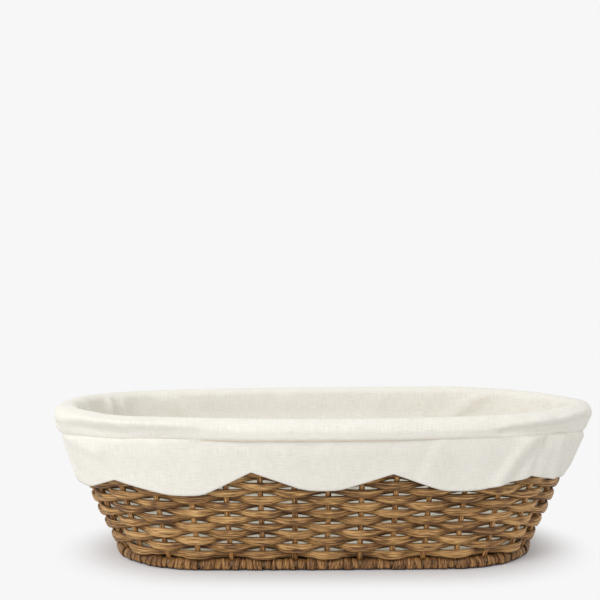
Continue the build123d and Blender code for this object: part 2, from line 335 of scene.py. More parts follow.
def makeLinenGroup():
    # Plain weave by the cloth's own measures in metres, with thicker threads both ways.
    group, start, end = newGroup("linenWeave", [("Threads", "NodeSocketFloat", linenThreads["perMetre"])],
                                 [("Shade", "NodeSocketFloat"), ("Relief", "NodeSocketFloat")])
    uv = addNode(group, "ShaderNodeUVMap", uv_map="UVMap")
    split = addNode(group, "ShaderNodeSeparateXYZ")
    group.links.new(uv.outputs[0], split.inputs[0])
    ways = []
    for n in range(2):
        turns = addMath(group, "MULTIPLY", split.outputs[n], start.outputs["Threads"])
        ways.append(addMath(group, "SINE", addMath(group, "MULTIPLY", turns, 2 * math.pi)))
    cross = addMath(group, "MULTIPLY", *ways)
    layers = {}
    for name in ("warp", "weft", "clouds"):
        layers[name] = stretchedNoise(group, uv.outputs[0], linenThreads[name])
    shade = sumOf(group, linenThreads["start"], *weighed(layers, linenThreads, "shade"),
                  (cross, linenThreads["crossShade"]))
    relief = sumOf(group, 0.0, *weighed(layers, linenThreads, "relief"), (cross, linenThreads["crossRelief"]))
    group.links.new(shade, end.inputs["Shade"])
    group.links.new(relief, end.inputs["Relief"])
    return group


fibreGroup = makeFibreGroup()
linenGroup = makeLinenGroup()


def newFinish(name, roughness):
    material = bpy.data.materials.new(name)
    material.use_nodes = True
    tree = material.node_tree
    shader = tree.nodes["Principled BSDF"]
    shader.inputs["Roughness"].default_value = roughness
    return material, tree, shader


def ramp(tree, value, stops):
    node = addNode(tree, "ShaderNodeValToRGB")
    elements = node.color_ramp.elements
    while len(elements) < len(stops):
        elements.new(0.5)
    for element, (place, colour) in zip(elements, stops):
        element.position = place
        element.color = (*colour, 1)
    tree.links.new(value, node.inputs[0])
    return node.outputs[0]


def addBump(tree, shader, height, distance, strength):
    bump = addNode(tree, "ShaderNodeBump")
    bump.inputs["Distance"].default_value = distance
    bump.inputs["Strength"].default_value = strength
    tree.links.new(height, bump.inputs["Height"])
    tree.links.new(bump.outputs[0], shader.inputs["Normal"])


caneRelief = 0.0006


def caneFinish(name, stops, roughness, bump):
    material, tree, shader = newFinish(name, roughness)
    fibre = addNode(tree, "ShaderNodeGroup", node_tree=fibreGroup)
    # The cane's colour takes each point's painted shade and painted highlight.
    for label, mark in (("Tone", "tone"), ("PaintedLight", "paintedLight")):
        marked = addNode(tree, "ShaderNodeAttribute", attribute_name=mark)
        tree.links.new(marked.outputs["Fac"], fibre.inputs[label])
    tree.links.new(ramp(tree, fibre.outputs["Shade"], stops), shader.inputs["Base Color"])
    addBump(tree, shader, fibre.outputs["Relief"], caneRelief, bump)
    return material


linenSkin = {"relief": 0.0003, "sheen": 0.1, "sheenRoughness": 0.6, "throughDepth": 0.004}


def linenFinish(name, stops, roughness, bump, through=0.0):
    # Through is how much light the cloth lets into itself, as the single layer behind the weave does.
    material, tree, shader = newFinish(name, roughness)
    weave = addNode(tree, "ShaderNodeGroup", node_tree=linenGroup)
    tree.links.new(ramp(tree, weave.outputs["Shade"], stops), shader.inputs["Base Color"])
    addBump(tree, shader, weave.outputs["Relief"], linenSkin["relief"], bump)
    shader.inputs["Sheen Weight"].default_value = linenSkin["sheen"]
    shader.inputs["Sheen Roughness"].default_value = linenSkin["sheenRoughness"]
    shader.inputs["Subsurface Weight"].default_value = through
    shader.inputs["Subsurface Radius"].default_value = (1.0, 1.0, 1.0)
    shader.inputs["Subsurface Scale"].default_value = linenSkin["throughDepth"]
    return material


caneStops = [(0.08, (0.070, 0.028, 0.007)), (0.36, (0.240, 0.110, 0.028)),
             (0.60, (0.450, 0.236, 0.072)), (0.90, (0.690, 0.420, 0.165))]


def tinted(stops, red, green, blue):
    return [(place, (colour[0] * red, colour[1] * green, colour[2] * blue)) for place, colour in stops]


finishes = {
    "weaver": caneFinish("weaverCane", caneStops, 0.6, 0.7),
    # The stakes' cane is the weavers' cane made lighter: painted light against the shade they stand in
    # between the strands.
    "stake": caneFinish("stakeCane", tinted(caneStops, 1.15, 1.08, 1.05), 0.55, 0.4),
    "peel": caneFinish("rattanPeel", tinted(caneStops, 0.72, 0.64, 0.56), 0.55, 0.8),
    "linen": linenFinish("linenCloth", [(0.2, (0.73, 0.70, 0.625)), (0.8, (0.87, 0.848, 0.785))], 0.9, 0.35),
    # The linen again, as it looks with light coming through it.
    "lining": linenFinish("linenLining", [(0.2, (0.97, 0.80, 0.53)), (0.8, (1.0, 0.90, 0.66))],
                          0.9, 0.35, 1.0),
    "thread": linenFinish("seamThread", [(0.2, (0.60, 0.49, 0.37)), (0.8, (0.76, 0.65, 0.52))], 0.9, 0.2),
}


rodGrain = {"scale": (60, 900, 900), "detail": 3.0, "relief": 0.0005, "bump": 0.4, "roughness": 0.55,
            "stops": [(0.3, (0.10, 0.052, 0.022)), (0.6, (0.27, 0.155, 0.066)), (0.8, (0.40, 0.25, 0.115))]}


def rodFinish(name):
    # The rods and the floor have no measures of their own, so their grain is in the object's coordinates.
    material, tree, shader = newFinish(name, rodGrain["roughness"])
    where = addNode(tree, "ShaderNodeTexCoord")
    grain = stretchedNoise(tree, where.outputs["Object"], rodGrain)
    tree.links.new(ramp(tree, grain, rodGrain["stops"]), shader.inputs["Base Color"])
    addBump(tree, shader, grain, rodGrain["relief"], rodGrain["bump"])
    return material


rodMaterial = rodFinish("hoopRod")
for node in ("foot_hoop", "rim_hoop", "floor_ribs", "floor_strands"):
    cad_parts[node].data.materials.clear()
    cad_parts[node].data.materials.append(rodMaterial)
print("finishes ready")

# Weaver rows.
weaver = {
    "pitch": 0.0042,                     # how far apart the rows are
    "joint": 11,                         # each row starts this many stakes further round
    "lift": 0.0017,                      # how far the rows stand above the frame's rows
    "settle": (0.35, 0.65, 0.0012),      # the lowest row sits down on the foot, most of all behind a stake
    "reach": 0.0023, "endReach": 0.15,   # how far it passes in front of a stake or behind it
    "dropBehind": 0.3,                   # how much of the wall's lean it follows behind a stake
    "crossing": (1.45, 0.45),            # it crosses over sharply between two stakes
    "height": 0.0043, "thickness": 0.0025,
    "front": 0.0012,                     # how much taller it is in front of a stake
    "back": 0.0017, "spread": 0.0008,    # how much flatter right behind a stake, and taller on the way there
    "endTaller": (0.10, 0.20),           # how much taller at the left end and at the right end
    "sag": 0.0001,                       # how much lower it runs in front of a stake
    # How much its height, lean, width and tone vary, and how quickly they do from stake to stake.
    "stray": (0.0003, 0.55), "tilt": (0.16, 0.9), "uneven": (0.16, 0.33), "tones": (0.9, 0.42),
    "square": (0.8, 0.9), "groove": 0.12,    # its section is a little squared, and grooved
    "run": 0.0195, "girth": 0.0135,      # its fibres' own measures, from stake to stake and round it
    # Painted shade along its edges, on its underside and where it passes behind a stake.
    "edgeShade": 0.36, "underShade": 0.16, "behindShade": 0.2,
    "buttGap": 0.0004, "gapStep": 0.019, "steps": 12, "around": 24, "seed": 400,
}
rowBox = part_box("weaver_row_01")
firstRow = (rowBox[0].z + rowBox[1].z) / 2


def stakeLine(share, height):
    # The strands run from stake to stake in a smooth line, which cuts the oval's bends a little.
    count = basket["stakes"]
    k = math.floor(share * count)
    f = share * count - k
    a, b, c, d = (onWall((k + n) / count, height)[0] for n in (-1, 0, 1, 2))
    point = curveAt(a, b, c, d, f)
    along = 0.5 * ((c - a) + 2 * (2 * a - 5 * b + 4 * c - d) * f + 3 * (3 * b - a - 3 * c + d) * f * f)
    return point, along.normalized()


def addWeaver(row):
    count, steps, around = basket["stakes"], weaver["steps"], weaver["around"]
    height = firstRow + weaver["lift"] + row * weaver["pitch"]
    first = (weaver["joint"] * row + count // 2) % count
    random.seed(weaver["seed"] + row)
    seed = random.uniform(0, 100)

    def varied(what, s, lane):
        much, pace = weaver[what]
        return much * wobble(s * pace, seed, lane)

    rings = []
    for i in range(count * steps + 1):
        s = i / steps
        # The row's two ends stand a little apart.
        trim = weaver["buttGap"] / 2 / weaver["gapStep"] * (1 if i == 0 else -1 if i == count * steps else 0)
        share = (first + s + trim) / count
        front = -math.cos(math.pi * s)
        front *= weaver["crossing"][0] - weaver["crossing"][1] * front * front
        point, along = stakeLine(share, height)
        outward = Vector((along.y, -along.x, 0))
        step = 0.01
        lean = math.atan2((onWall(share, height + step)[0] - onWall(share, height)[0]).dot(outward), step)
        drop = math.sin(lean) * (1 if front > 0 else weaver["dropBehind"])
        reach = weaver["reach"] * (1 - weaver["endReach"] * outward.x**4)
        point += (outward * math.cos(lean) - up * drop) * reach * front
        lean += varied("tilt", s, 3.0)
        point.z += varied("stray", s, 7.0) - weaver["sag"] * smooth((front + 1) / 2)
        if row == 0:
            least, more, settle = weaver["settle"]
            point.z -= settle * (least + more * smooth((0.5 - front) / 1.5))
        endTaller = weaver["endTaller"][outward.x > 0] * outward.x**4
        size = 1 + varied("uneven", s, 11.0) + endTaller
        behind = max(-front, 0)
        thinner = weaver["back"] * behind**5 * (1 + wobble(round(s) * 5.1, seed, 40.0))
        thinner -= weaver["spread"] * behind
        tall = (weaver["height"] + weaver["front"] * max(front, 0)**1.5 - thinner) * size / 2
        thick = weaver["thickness"] * (2 - size) / 2
        rise = up * math.cos(lean) + outward * math.sin(lean)
        face = outward * math.cos(lean) - up * math.sin(lean)
        rings.append((point, rise, face, tall, thick, s, front))

    def place(i, j):
        point, rise, face, tall, thick, s, front = rings[i]
        angle = 2 * math.pi * (j % around) / around
        c, q = math.cos(angle), math.sin(angle)
        groove = 1 + weaver["groove"] * wobble(4.5 * c + seed, 4.5 * q, s * 0.35)
        c = math.copysign(abs(c) ** weaver["square"][0], c)
        q = math.copysign(abs(q) ** weaver["square"][1], q)
        return (point + face * thick * c * groove + rise * tall * q * groove,
                (s * weaver["run"] + seed, j / around * weaver["girth"]))

    def paintedLight(i, j):
        # Painted shade along its edges, more of it on its underside, and behind the stakes.
        height = math.sin(2 * math.pi * (j % around) / around)
        below = weaver["underShade"] * height**2 if height < 0 else 0.0
        return 1 - weaver["edgeShade"] * height**6 - below - weaver["behindShade"] * smooth(0.2 - rings[i][6])

    def tone(i):
        return 0.5 + varied("tones", i / steps, 20.0)

    shape = newShape()
    addSkin(shape, count * steps, around, place, tone, paintedLight)
    number = f"{row + 1:02d}"
    stands = ["weaver_row_" + number]
    finishPiece(shape, "weaver" + number, finishes["weaver"], "basket", stands)


for row in range(basket["rows"]):
    addWeaver(row)
print("weaver rows ready")

# Stakes, whose lower ends are tucked in behind the foot's turns.
stake = {"radius": 0.0017, "top": 0.0822, "end": 0.0056, "tuck": 0.0014, "tuckFrom": 0.0115, "tuckRun": 0.004,
         "stray": 0.0006, "uneven": 0.08, "tone": (0.2, 0.75), "girth": 0.0088, "steps": 26, "around": 8,
         "seed": 900}


def addStakes():
    shape = newShape()
    for k in range(basket["stakes"]):
        random.seed(stake["seed"] + k)
        seed = random.uniform(0, 100)
        places = []
        for i in range(stake["steps"] + 1):
            f = i / stake["steps"]
            height = stake["end"] + (stake["top"] - stake["end"]) * f
            tuck = stake["tuck"] * smooth((stake["tuckFrom"] - height) / stake["tuckRun"])
            share = k / basket["stakes"] + stake["stray"] * wobble(height * 40, seed, 0)
            point, outward = onWall(share, height, -tuck)
            places.append((point, outward, height))

        def place(i, j):
            point, outward, height = places[i]
            angle = 2 * math.pi * (j % stake["around"]) / stake["around"]
            aside = Vector((-outward.y, outward.x, 0))
            radius = stake["radius"] * (1 + stake["uneven"] * wobble(height * 60, seed, angle))
            return (point + (outward * math.cos(angle) + aside * math.sin(angle)) * radius,
                    (height + seed, j / stake["around"] * stake["girth"]))

        addSkin(shape, stake["steps"], stake["around"], place, random.uniform(*stake["tone"]))
    finishPiece(shape, "stakeSet", finishes["stake"], "basket", ["stakes"])


addStakes()
print("stakes ready")

# Peel wound round each hoop, in groups of turns between the stakes. No turn goes below its wrap's floor.
footWrap = {"oval": footOval, "rimLine": False, "radius": 0.0036, "turns": (3, 5), "notch": (0.0006, 0.0018),
            "lean": 0.26, "thick": 0.0012, "floor": 0.0, "seed": 31}
rimWrap = {"oval": rimOval, "rimLine": True, "radius": 0.0046, "turns": (5, 6), "notch": (0.0026, 0.0034),
           "lean": 0.12, "thick": 0.0011, "floor": -1.0, "seed": 57}
turn = {
    "round": 12, "across": 6, "square": 0.65,
    "overlap": 1.06,                     # each turn is this many times as wide as its place
    "widths": (0.55, 1.5), "lean": (-0.12, 0.16), "proud": (-0.0004, 0.0003), "tone": (0.1, 0.9),
    # Painted shade between the turns, a painted highlight on their crowns, and painted shade at the foot's
    # bottom.
    "edge": 0.66, "crown": 0.44, "footShade": 1.2, "footShadeTop": 0.0016, "footShadeRun": 0.0012,
}


def addTurn(shape, wrap, share, width, lean, radius, tone):
    centre, outward = placeOn(wrap["oval"], share)
    centre.z = wrap["oval"]["height"]
    aside = Vector((-outward.y, outward.x, 0))
    girth = 2 * math.pi * radius

    def place(i, j):
        a = 2 * math.pi * (i % turn["round"]) / turn["round"]
        b = 2 * math.pi * (j % turn["across"]) / turn["across"]
        side, face = (math.copysign(abs(v) ** turn["square"], v) for v in (math.sin(b), math.cos(b)))
        reach = radius - wrap["thick"] / 2 * (1 - face)
        point = centre + (outward * math.cos(a) + up * math.sin(a)) * reach
        point += aside * (width / 2 * side + lean * math.sin(a) * radius)
        point.z = max(point.z, wrap["floor"])
        return point, (i / turn["round"] * girth, j / turn["across"] * width * 2)

    def paintedLight(i, j):
        # Painted shade between the turns and a painted highlight on each turn's crown, with painted shade
        # along the bottom where the foot stands on the floor.
        low = math.sin(2 * math.pi * i / turn["round"]) * radius + wrap["oval"]["height"]
        middle = math.cos(2 * math.pi * (j % turn["across"]) / turn["across"])
        shadedBelow = smooth((turn["footShadeTop"] - low) / turn["footShadeRun"])
        return turn["edge"] + turn["crown"] * middle - turn["footShade"] * shadedBelow

    addSkin(shape, turn["round"], turn["across"], place, tone, paintedLight)


def addWrap(wrap, name, node):
    random.seed(wrap["seed"])
    shape = newShape()
    count, length = basket["stakes"], 4 * wrap["oval"]["quarter"]
    for k in range(count):
        begin, end = (rimShare(n / count) if wrap["rimLine"] else n / count for n in (k, k + 1))
        notch = random.uniform(*wrap["notch"]) / length
        begin, end = begin + notch / 2, end - notch / 2
        turns = random.randint(*wrap["turns"])
        widths = [random.uniform(*turn["widths"]) for n in range(turns)]
        at = begin
        for n, width in enumerate(widths):
            # The turns beside a notch lean away from it.
            lean = wrap["lean"] * (0.5 - n / (turns - 1)) + random.uniform(*turn["lean"])
            share = width / sum(widths) * (end - begin)
            radius = wrap["radius"] + random.uniform(*turn["proud"])
            addTurn(shape, wrap, at + share / 2, share * length * turn["overlap"], lean, radius,
                    random.uniform(*turn["tone"]))
            at += share
    finishPiece(shape, name, finishes["peel"], "basket", [node])


addWrap(footWrap, "footWrap", "foot_binding")
addWrap(rimWrap, "rimWrap", "rim_binding")
print("hoop bindings ready")


# The liner. Folds run between two places, (share, how far down) each, with a width and a rise in metres.
def foldRise(folds, share, down, height):
    length = 4 * rimOval["quarter"]
    widths = 3    # a fold is flat again this many of its widths away
    rise = 0.0
    for begin, top, end, bottom, width, high in folds:
        x = ((share - begin + 0.5) % 1.0 - 0.5) * length
        if abs(x) > abs(end - begin) * length + widths * width:
            continue
        y = (down - top) * height
        runX, runY = (end - begin) * length, (bottom - top) * height
        part = min(max((x * runX + y * runY) / (runX**2 + runY**2), 0.0), 1.0)
        away = math.hypot(x - part * runX, y - part * runY) / width
        if away < widths:
            rise += high * math.exp(-away * away)
    return rise


def softFolds(seed, count, width, rise, slant, tall=1.0):
    # Gentle folds anywhere round the basket, over a strip so tall.
    random.seed(seed)
    folds = []
    for n in range(count):
        begin, top = random.random(), random.uniform(-0.1, 0.4)
        end, bottom = begin + random.uniform(-slant, slant), top + random.uniform(0.3, 0.8)
        folds.append((begin, top * tall, end, bottom * tall, width * random.uniform(0.7, 1.5),
                      rise * random.uniform(-1, 1)))
    return folds


liner = {
    "bottom": 0.0099, "knee": 0.0760, "wallOffset": -0.0042, "columns": 420, "wallRows": 18, "rollRows": 40,
    "thickness": 0.0005,
    "clear": 0.0052,                     # how far the cloth stays from the middle of the wound rim
    # The height of the rolled rim's crest round the basket, as (share, height).
    "crest": [(0.0, 0.0915), (0.1, 0.0917), (0.14, 0.0921), (0.17, 0.0933), (0.2, 0.0942),
              (0.225, 0.0940), (0.25, 0.0931), (0.275, 0.0922), (0.305, 0.0927), (0.335, 0.0932),
              (0.365, 0.0938), (0.42, 0.0931), (0.5, 0.0924), (0.6, 0.0921), (0.66, 0.0921),
              (0.7, 0.0925), (0.72, 0.0930), (0.745, 0.0927), (0.77, 0.0926), (0.808, 0.0924),
              (0.826, 0.0917), (0.845, 0.0914), (0.87, 0.0914), (0.9, 0.0915), (0.97, 0.0915)],
    # The bag's folds are (share, height) to (share, height). The roll's go by the part of its way from the
    # knee over the crest to the seam, which is about this long. Softer folds are drawn at random: seed,
    # count, width, rise, slant and, on the bag, the height of their strip.
    "rollWay": 0.036, "crestPart": 0.375,
    "fadeIn": 6, "fadeOut": 8, "clearOut": 7,    # how sharply the roll's folds and its clearance begin or end
    "softWallFolds": (71, 30, 0.007, 0.0012, 0.02, 0.09), "softRollFolds": (72, 40, 0.004, 0.00045, 0.015),
    "pucker": 0.0012, "puckerTop": 0.035, "puckerRun": 0.02, "puckerPace": (150, 30),
    "foldFade": (0.012, 0.007),
    "wallFolds": [(0.703, 0.094, 0.705, 0.060, 0.0024, 0.0044), (0.688, 0.088, 0.690, 0.050, 0.0040, 0.0020),
                  (0.335, 0.095, 0.372, 0.072, 0.0050, 0.0022), (0.62, 0.070, 0.655, 0.092, 0.0060, 0.0012),
                  (0.735, 0.090, 0.732, 0.030, 0.0040, 0.0018), (0.27, 0.090, 0.262, 0.030, 0.0040, 0.0016),
                  (0.43, 0.094, 0.45, 0.060, 0.0070, 0.0010), (0.54, 0.094, 0.53, 0.065, 0.0060, 0.0009)],
    "rollFolds": [(0.138, 0.80, 0.222, 0.72, 0.0030, -0.0026), (0.140, 0.62, 0.232, 0.56, 0.0036, 0.0013),
                  (0.175, 0.57, 0.236, 0.50, 0.0024, -0.0013), (0.190, 0.66, 0.236, 0.58, 0.0020, -0.0010),
                  (0.780, 0.80, 0.755, 0.66, 0.0030, -0.0009), (0.845, 0.84, 0.800, 0.76, 0.0030, -0.0007),
                  (0.735, 0.9, 0.755, 0.55, 0.0030, -0.0009), (0.30, 0.85, 0.26, 0.55, 0.0030, -0.0009),
                  (0.68, 0.85, 0.72, 0.55, 0.0030, -0.0009)],
    "seam": 0.0803, "leftDip": (0.0020, 0.0050), "rightDip": 0.0056,
    # The roll's inner side: how far in it stands at the sides and at the ends, how far its two bends lie
    # below the crest, how much further out the upper one is, and how far in the crest is.
    "inner": (-0.0062, -0.0060), "innerBends": (0.0068, 0.0022), "innerLean": 0.0010, "crestIn": 0.0010,
    # How high the outer side's upper bend is, from shoulder to crest, and how much higher at the ends.
    "upperBend": (0.72, 0.1),
    # Below the shoulder it bends twice. Each bend is drawn in by this part of the roll's bulge, and by this
    # much more where it is drawn, at this part of the shoulder's height.
    "lowerBends": [(0.0, 0.25, 0.55), (0.3, 0.25, 0.2)],
    # The roll's outer side as (share, value). Outer is how far out it stands, shoulder how high up that is as
    # a part of the roll's height, corner how far out its upper bend is, drawn how much it draws in below, and
    # pinch how far out the seam is.
    "outer": [(0.0, 0.0066), (0.13, 0.0066), (0.17, 0.0080), (0.2, 0.0089), (0.225, 0.0078), (0.25, 0.0070),
              (0.3, 0.0072), (0.4, 0.0066), (0.6, 0.0066), (0.7, 0.0076), (0.75, 0.0085), (0.79, 0.0088),
              (0.83, 0.0092), (0.88, 0.0082), (0.92, 0.0066)],
    "shoulder": [(0.0, 0.55), (0.12, 0.5), (0.15, 0.66), (0.2, 0.76), (0.25, 0.60), (0.3, 0.65),
                 (0.4, 0.6), (0.6, 0.6), (0.7, 0.6), (0.75, 0.50), (0.785, 0.70), (0.82, 0.84),
                 (0.88, 0.80), (0.92, 0.55)],
    "corner": [(0.0, 0.0042), (0.16, 0.0042), (0.25, 0.0060), (0.34, 0.0042), (0.66, 0.0042), (0.75, 0.0068),
               (0.81, 0.0050), (0.86, 0.0042)],
    "drawn": [(0.0, 0.0), (0.10, 0.2), (0.15, 1.5), (0.2, 1.9), (0.225, 1.4), (0.25, 0.3), (0.3, 0.8),
              (0.4, 0.4), (0.6, 0.4), (0.7, 0.8), (0.75, 0.0), (0.78, 1.3), (0.82, 1.9), (0.88, 1.7),
              (0.91, 0.4), (0.93, 0.0)],
    "pinch": [(0.0, 0.0052), (0.13, 0.0048), (0.17, 0.0032), (0.2, 0.0020), (0.25, 0.0020), (0.3, 0.0028),
              (0.4, 0.0048), (0.6, 0.0048), (0.7, 0.0028), (0.75, 0.0016), (0.8, 0.0018), (0.87, 0.0026),
              (0.905, 0.0044), (0.93, 0.0052)],
    # How far the valance's top edge stands in front of the seam.
    "lap": [(0.0, 0.0), (0.25, 0.0), (0.3, 0.0010), (0.75, 0.0012), (0.89, 0.0013), (0.915, 0.0002),
            (0.93, 0.0)],
}


def endShares(share):
    # How much of the way a place is towards the left end and towards the right end.
    outward = placeOn(rimOval, rimShare(share))[1]
    return max(-outward.x, 0.0), max(outward.x, 0.0)


def fromTable(table, share):
    share %= 1.0
    for (begin, low), (end, high) in zip(table, table[1:] + [(1.0, table[0][1])]):
        if begin <= share <= end:
            return low + (high - low) * smooth((share - begin) / (end - begin))


def seamPlace(share):
    # The seam under the roll: how far it is out of the rim's line, and its height.
    left, right = endShares(share)
    height = liner["seam"] - liner["leftDip"][0] * smooth(left / 0.4) - liner["leftDip"][1] * left**5
    height -= liner["rightDip"] * right**4
    return fromTable(liner["pinch"], share), height


def rollSection(share):
    # Points over the rim, from the knee of the bag to the seam.
    crest, out, shoulder, corner, drawn = (fromTable(liner[name], share) for name in
                                           ("crest", "outer", "shoulder", "corner", "drawn"))
    pinch, seam = seamPlace(share)
    end = max(endShares(share)) ** 3
    inner = liner["inner"][0] + (liner["inner"][1] - liner["inner"][0]) * end
    tall, bulge = crest - seam, out - pinch
    lowBend, highBend = liner["innerBends"]
    upper = shoulder + (1 - shoulder) * (liner["upperBend"][0] + liner["upperBend"][1] * end)
    points = [(inner, crest - lowBend), (inner + liner["innerLean"], crest - highBend)]
    points += [(-liner["crestIn"], crest), (corner, seam + upper * tall), (out, seam + shoulder * tall)]
    for part, more, high in liner["lowerBends"]:
        points.append((out - (part + more * drawn) * bulge, seam + high * shoulder * tall))
    return points + [(pinch, seam)]


wallFolds = liner["wallFolds"] + softFolds(*liner["softWallFolds"])
rollFolds = liner["rollFolds"] + softFolds(*liner["softRollFolds"])


def foldedIn(point, share, crest):
    # The bag's folds only stand inwards, because the weave is close behind it.
    outward = placeOn(rimOval, rimShare(share))[1]
    lowFade, highFade = liner["foldFade"]
    fade = smooth((point.z - liner["bottom"]) / lowFade) * smooth((crest - point.z) / highFade)
    roundPace, upPace = liner["puckerPace"]
    pucker = max(wobble(share * roundPace, point.z * upPace, 1.0), 0.0)
    pucker *= smooth((liner["puckerTop"] - point.z) / liner["puckerRun"])
    rise = max(foldRise(wallFolds, share, point.z, 1.0), 0.0) + liner["pucker"] * pucker
    return point - outward * rise * fade


def linerColumn(share):
    # The section at one place: up the wall of the bag, over the rim and down to the seam.
    rows, rollRows = liner["wallRows"], liner["rollRows"]
    crest = fromTable(liner["crest"], share)
    heights = [liner["bottom"] + (liner["knee"] - liner["bottom"]) * n / rows for n in range(rows + 1)]
    wall = [onWall(share, height, liner["wallOffset"])[0] for height in heights]
    roll = [wall[-1]] + [onRim(share, offset, height) for offset, height in rollSection(share)]
    middle = onRim(share, 0.0, rimHeight)
    column = [foldedIn(point, share, crest) for point in wall[:-1]]
    for n in range(rollRows + 1):
        down = n / rollRows
        point = between(roll, down)
        if down < liner["crestPart"]:
            point = foldedIn(point, share, crest)
        rise = foldRise(rollFolds, share, down, liner["rollWay"])
        rise *= smooth((down - liner["crestPart"]) * liner["fadeIn"]) * smooth((1 - down) * liner["fadeOut"])
        # No fold goes into the wound rim.
        out = point - middle
        clear = liner["clear"] * smooth((1 - down) * liner["clearOut"])
        column.append(middle + out.normalized() * max(out.length + rise, clear))
    return column


def addLinerBag():
    columns = liner["columns"]
    rows = liner["wallRows"] + liner["rollRows"]
    length = 4 * rimOval["quarter"]
    places = []
    for i in range(columns + 1):
        column = linerColumn(i % columns / columns)
        run = [0.0]
        for a, b in zip(column, column[1:]):
            run.append(run[-1] + (b - a).length)
        places.append((column, run))

    def place(i, j):
        column, run = places[i]
        return column[j], (i / columns * length, run[j])

    shape = newShape()
    addSkin(shape, columns, rows, place, closed=False)
    faceTowards(shape, Vector((0, 0, liner["bottom"])))
    piece = finishPiece(shape, "linerBag", finishes["linen"], "liner", ["liner_wall", "rim_fold"])
    thicken(piece, liner["thickness"], finishes["lining"])
    return piece


linerFloor = {"columns": 160, "rows": 12, "ripple": 0.0004}


def addLinerBottom():
    columns, rows = linerFloor["columns"], linerFloor["rows"]

    def place(i, j):
        edge = onWall(i % columns / columns, liner["bottom"], liner["wallOffset"])[0]
        point = Vector((0, 0, liner["bottom"])).lerp(edge, j / rows)
        point.z += linerFloor["ripple"] * wobble(point.x * 40, point.y * 40, 5.0) * (1 - j / rows)
        return point, (point.x, point.y)

    shape = newShape()
    addSkin(shape, columns, rows, place, closed=False)
    faceTowards(shape, Vector((0, 0, 1)))
    piece = finishPiece(shape, "linerBottom", finishes["linen"], "liner", ["liner_bottom"])
    thicken(piece, liner["thickness"], finishes["lining"])
    return piece


linerBag = addLinerBag()
linerBottom = addLinerBottom()
print("liner bag ready")

# The valance. Its hem has peaks, given as (share, height), and after each of them a trough of its own height.
valance = {
    "columns": 660, "rows": 24, "thickness": 0.0007,
    "hemSlope": 1.32, "hemRounding": 0.02,
    "peaks": [(0.0541, 0.0602), (0.1678, 0.0554), (0.25, 0.0545), (0.3322, 0.0554), (0.4459, 0.0602),
              (0.5649, 0.0614), (0.6734, 0.0545), (0.75, 0.0525), (0.8266, 0.0538), (0.9351, 0.0614)],
    "height": 0.034,
    "folds": [(0.775, 0.1, 0.818, 0.45, 0.0040, 0.0011), (0.762, 0.2, 0.776, 0.9, 0.0040, 0.0014),
              (0.800, 0.05, 0.786, 0.8, 0.0030, -0.0009), (0.172, 0.1, 0.168, 1.0, 0.0028, -0.0019),
              (0.182, 0.0, 0.188, 1.0, 0.0034, 0.0024), (0.198, 0.1, 0.202, 1.0, 0.0030, -0.0020),
              (0.140, 1.0, 0.160, 0.2, 0.0040, 0.0018), (0.150, 1.0, 0.170, 0.3, 0.0030, -0.0015),
              (0.216, 0.0, 0.220, 0.8, 0.0040, 0.0014),
              (0.30, 0.1, 0.305, 1.0, 0.0035, -0.0010), (0.285, 0.1, 0.280, 1.0, 0.0040, 0.0012),
              (0.70, 0.1, 0.705, 1.0, 0.0035, -0.0010), (0.715, 0.1, 0.710, 1.0, 0.0040, 0.0012)],
    "troughs": [0.0490, 0.0502, 0.0502, 0.0490, 0.0502, 0.0466, 0.0460, 0.0460, 0.0465, 0.0502],
    "softFolds": (73, 44, 0.005, 0.0005, 0.02), "ripple": 0.0004,
    "tuckedIn": 0.0004, "tuckedUp": 0.0005,    # its top edge goes in under the roll
    # How it hangs: the part of its way down, and there how far out of the wall it stands at the sides, at the
    # left end and at the right end.
    "hang": [(0.04, 0.0060, 0.0080, 0.0074), (0.25, 0.0066, 0.0085, 0.0069), (0.5, 0.0065, 0.0086, 0.0064),
             (0.75, 0.0065, 0.0094, 0.0060), (1.0, 0.0068, 0.0100, 0.0059)],
}


def hemHeight(share):
    peaks = valance["peaks"]
    for n, (begin, top) in enumerate(peaks):
        end, nextTop = peaks[(n + 1) % len(peaks)]
        span = (end - begin) % 1.0
        at = (share - begin) % 1.0
        if at <= span:
            half = min(at, span - at) / (span / 2)
            high = top if at < span / 2 else nextTop
            run = valance["hemSlope"] * half
            drop = (run + 1 - math.sqrt((run - 1) ** 2 + valance["hemRounding"])) / 2
            return high - (high - valance["troughs"][n]) * min(max(drop, 0.0), 1.0)
    return valance["troughs"][0]


def valanceColumn(share):
    left, right = endShares(share)
    seamOffset, seamHeight = seamPlace(share)
    hem = hemHeight(share)
    topOffset = seamOffset - valance["tuckedIn"] + fromTable(liner["lap"], share)
    points = [onRim(share, topOffset, seamHeight + valance["tuckedUp"])]
    for f, side, toLeft, toRight in valance["hang"]:
        offset = side + (toLeft - side) * left**3 + (toRight - side) * right**3
        points.append(onWall(share, seamHeight + (hem - seamHeight) * f, offset, False)[0])
    return [between(points, n / valance["rows"]) for n in range(valance["rows"] + 1)]


def addValance():
    folds = valance["folds"] + softFolds(*valance["softFolds"])
    columns, rows = valance["columns"], valance["rows"]
    length = 4 * rimOval["quarter"]
    places = [valanceColumn(i % columns / columns) for i in range(columns + 1)]

    def place(i, j):
        point = places[i][j]
        outward = placeOn(rimOval, rimShare(i / columns))[1]
        rise = foldRise(folds, i % columns / columns, j / rows, valance["height"])
        rise += valance["ripple"] * wobble(point.x * 28, point.y * 28, point.z * 18)
        return point + outward * rise * smooth(j / rows * 4), (i / columns * length, -point.z)

    shape = newShape()
    addSkin(shape, columns, rows, place, closed=False)
    piece = finishPiece(shape, "valanceSkirt", finishes["linen"], "liner", ["valance"])
    thicken(piece, valance["thickness"])
    return piece


seamThread = {"radius": 0.00035, "out": 0.0005, "rightIn": 0.0007, "up": 0.0001, "girth": 0.0028,
              "columns": 420, "around": 6}


